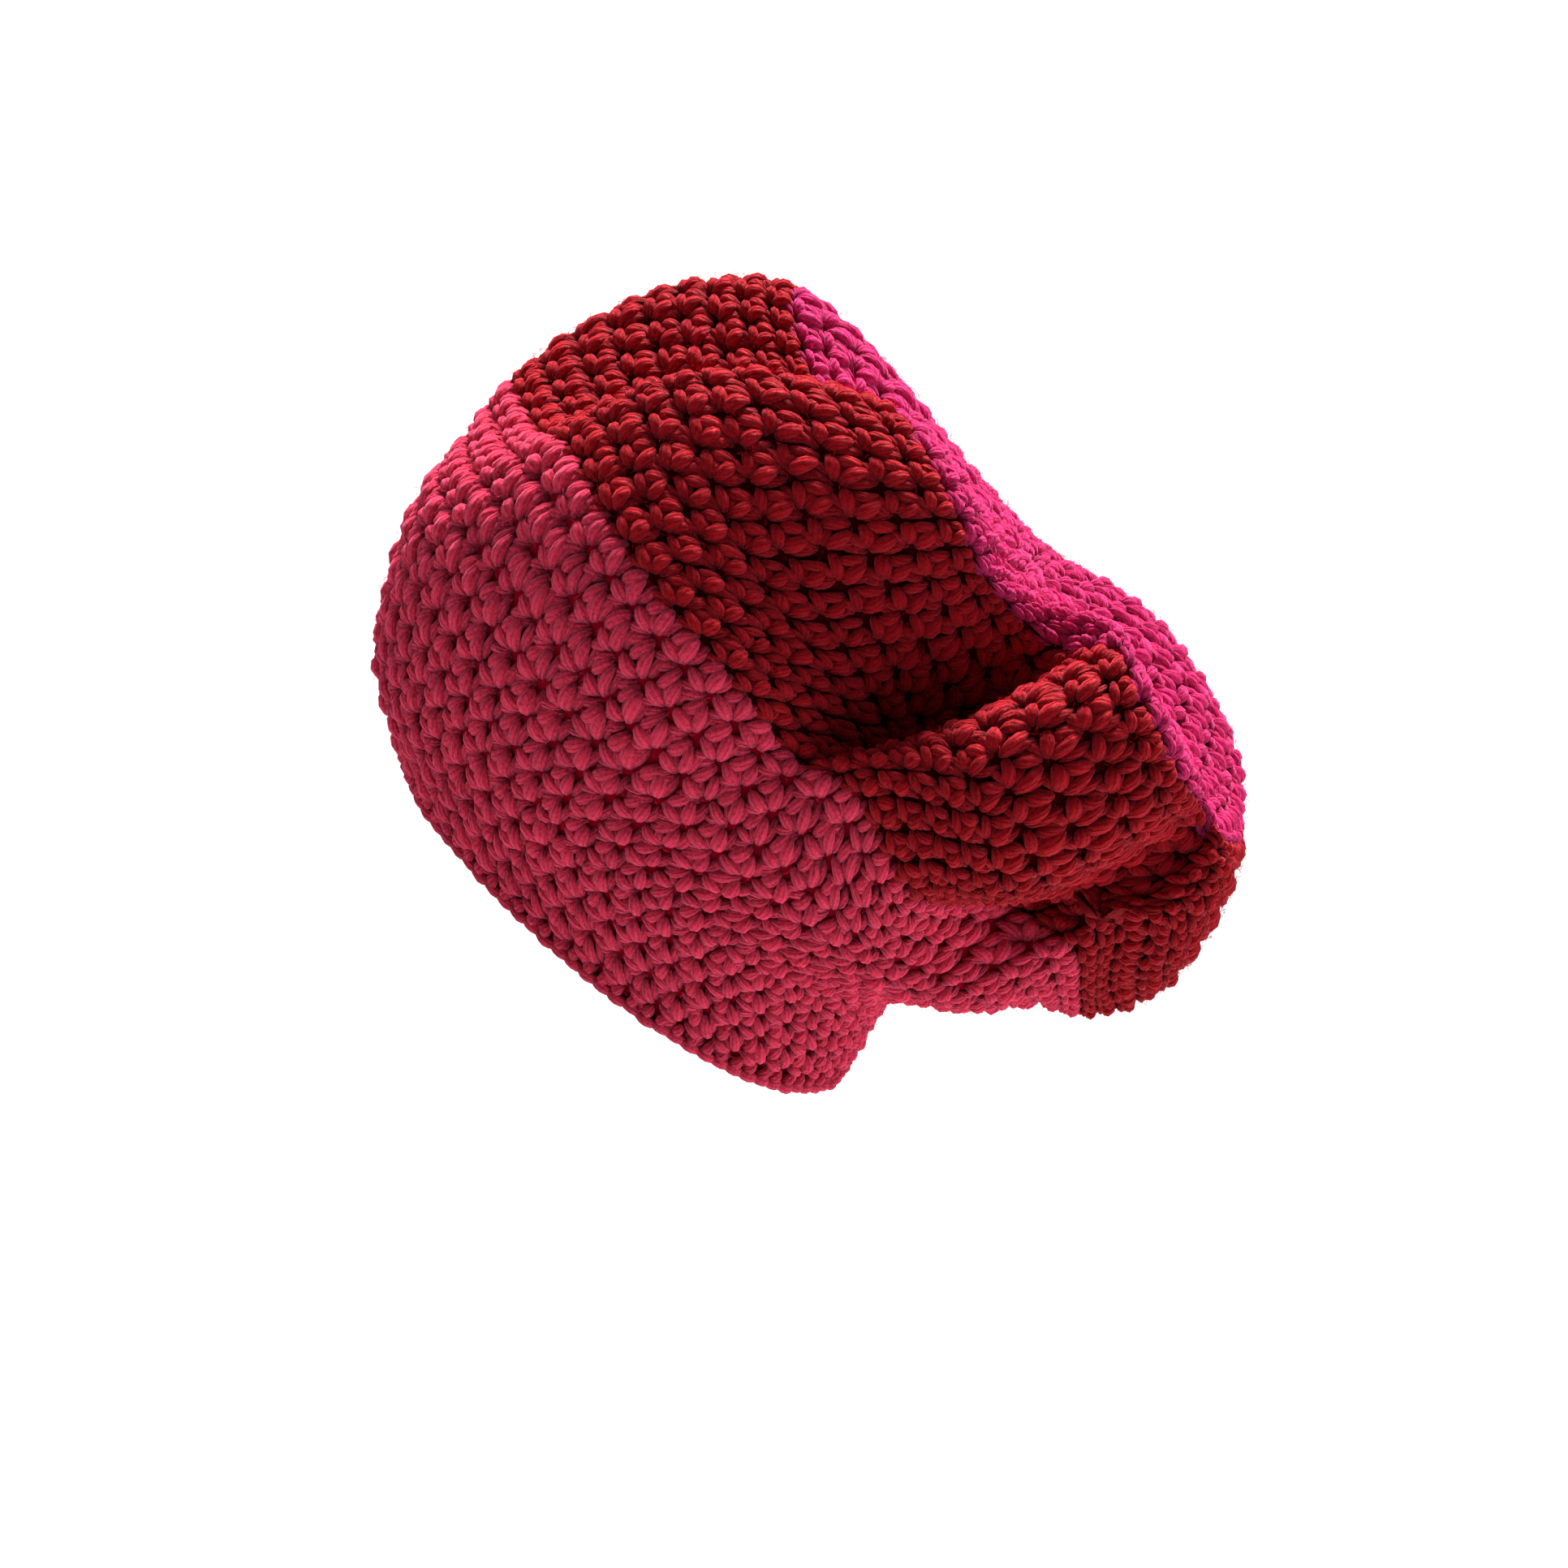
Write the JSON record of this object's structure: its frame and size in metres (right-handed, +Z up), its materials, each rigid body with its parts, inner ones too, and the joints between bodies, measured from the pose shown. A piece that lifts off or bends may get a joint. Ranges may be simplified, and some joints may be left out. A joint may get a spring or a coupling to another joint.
{
  "type": "slouchy beanie",
  "caption": "Slouchy crocheted beanie in rose pink, dark red and magenta, shown as worn, its wide bag fallen back behind the head in soft folds.",
  "frame": {"origin": "the middle of the opening, in the plane of the brim's edge", "axes": "the wearer faces -Y, +X is the wearer's left, +Z is up; the opening's plane slopes down towards the nape"},
  "size_m": [0.24, 0.3364, 0.3033],
  "materials": {
    "pink_yarn": "matt crocheted acrylic yarn, rose pink",
    "red_yarn": "soft crocheted acrylic yarn, dark red",
    "magenta_yarn": "soft crocheted acrylic yarn, hot magenta"
  },
  "bodies": {
    "root": {"lower_band": "pink_yarn", "middle_band": "red_yarn", "crown": "magenta_yarn"}
  },
  "joints": []
}
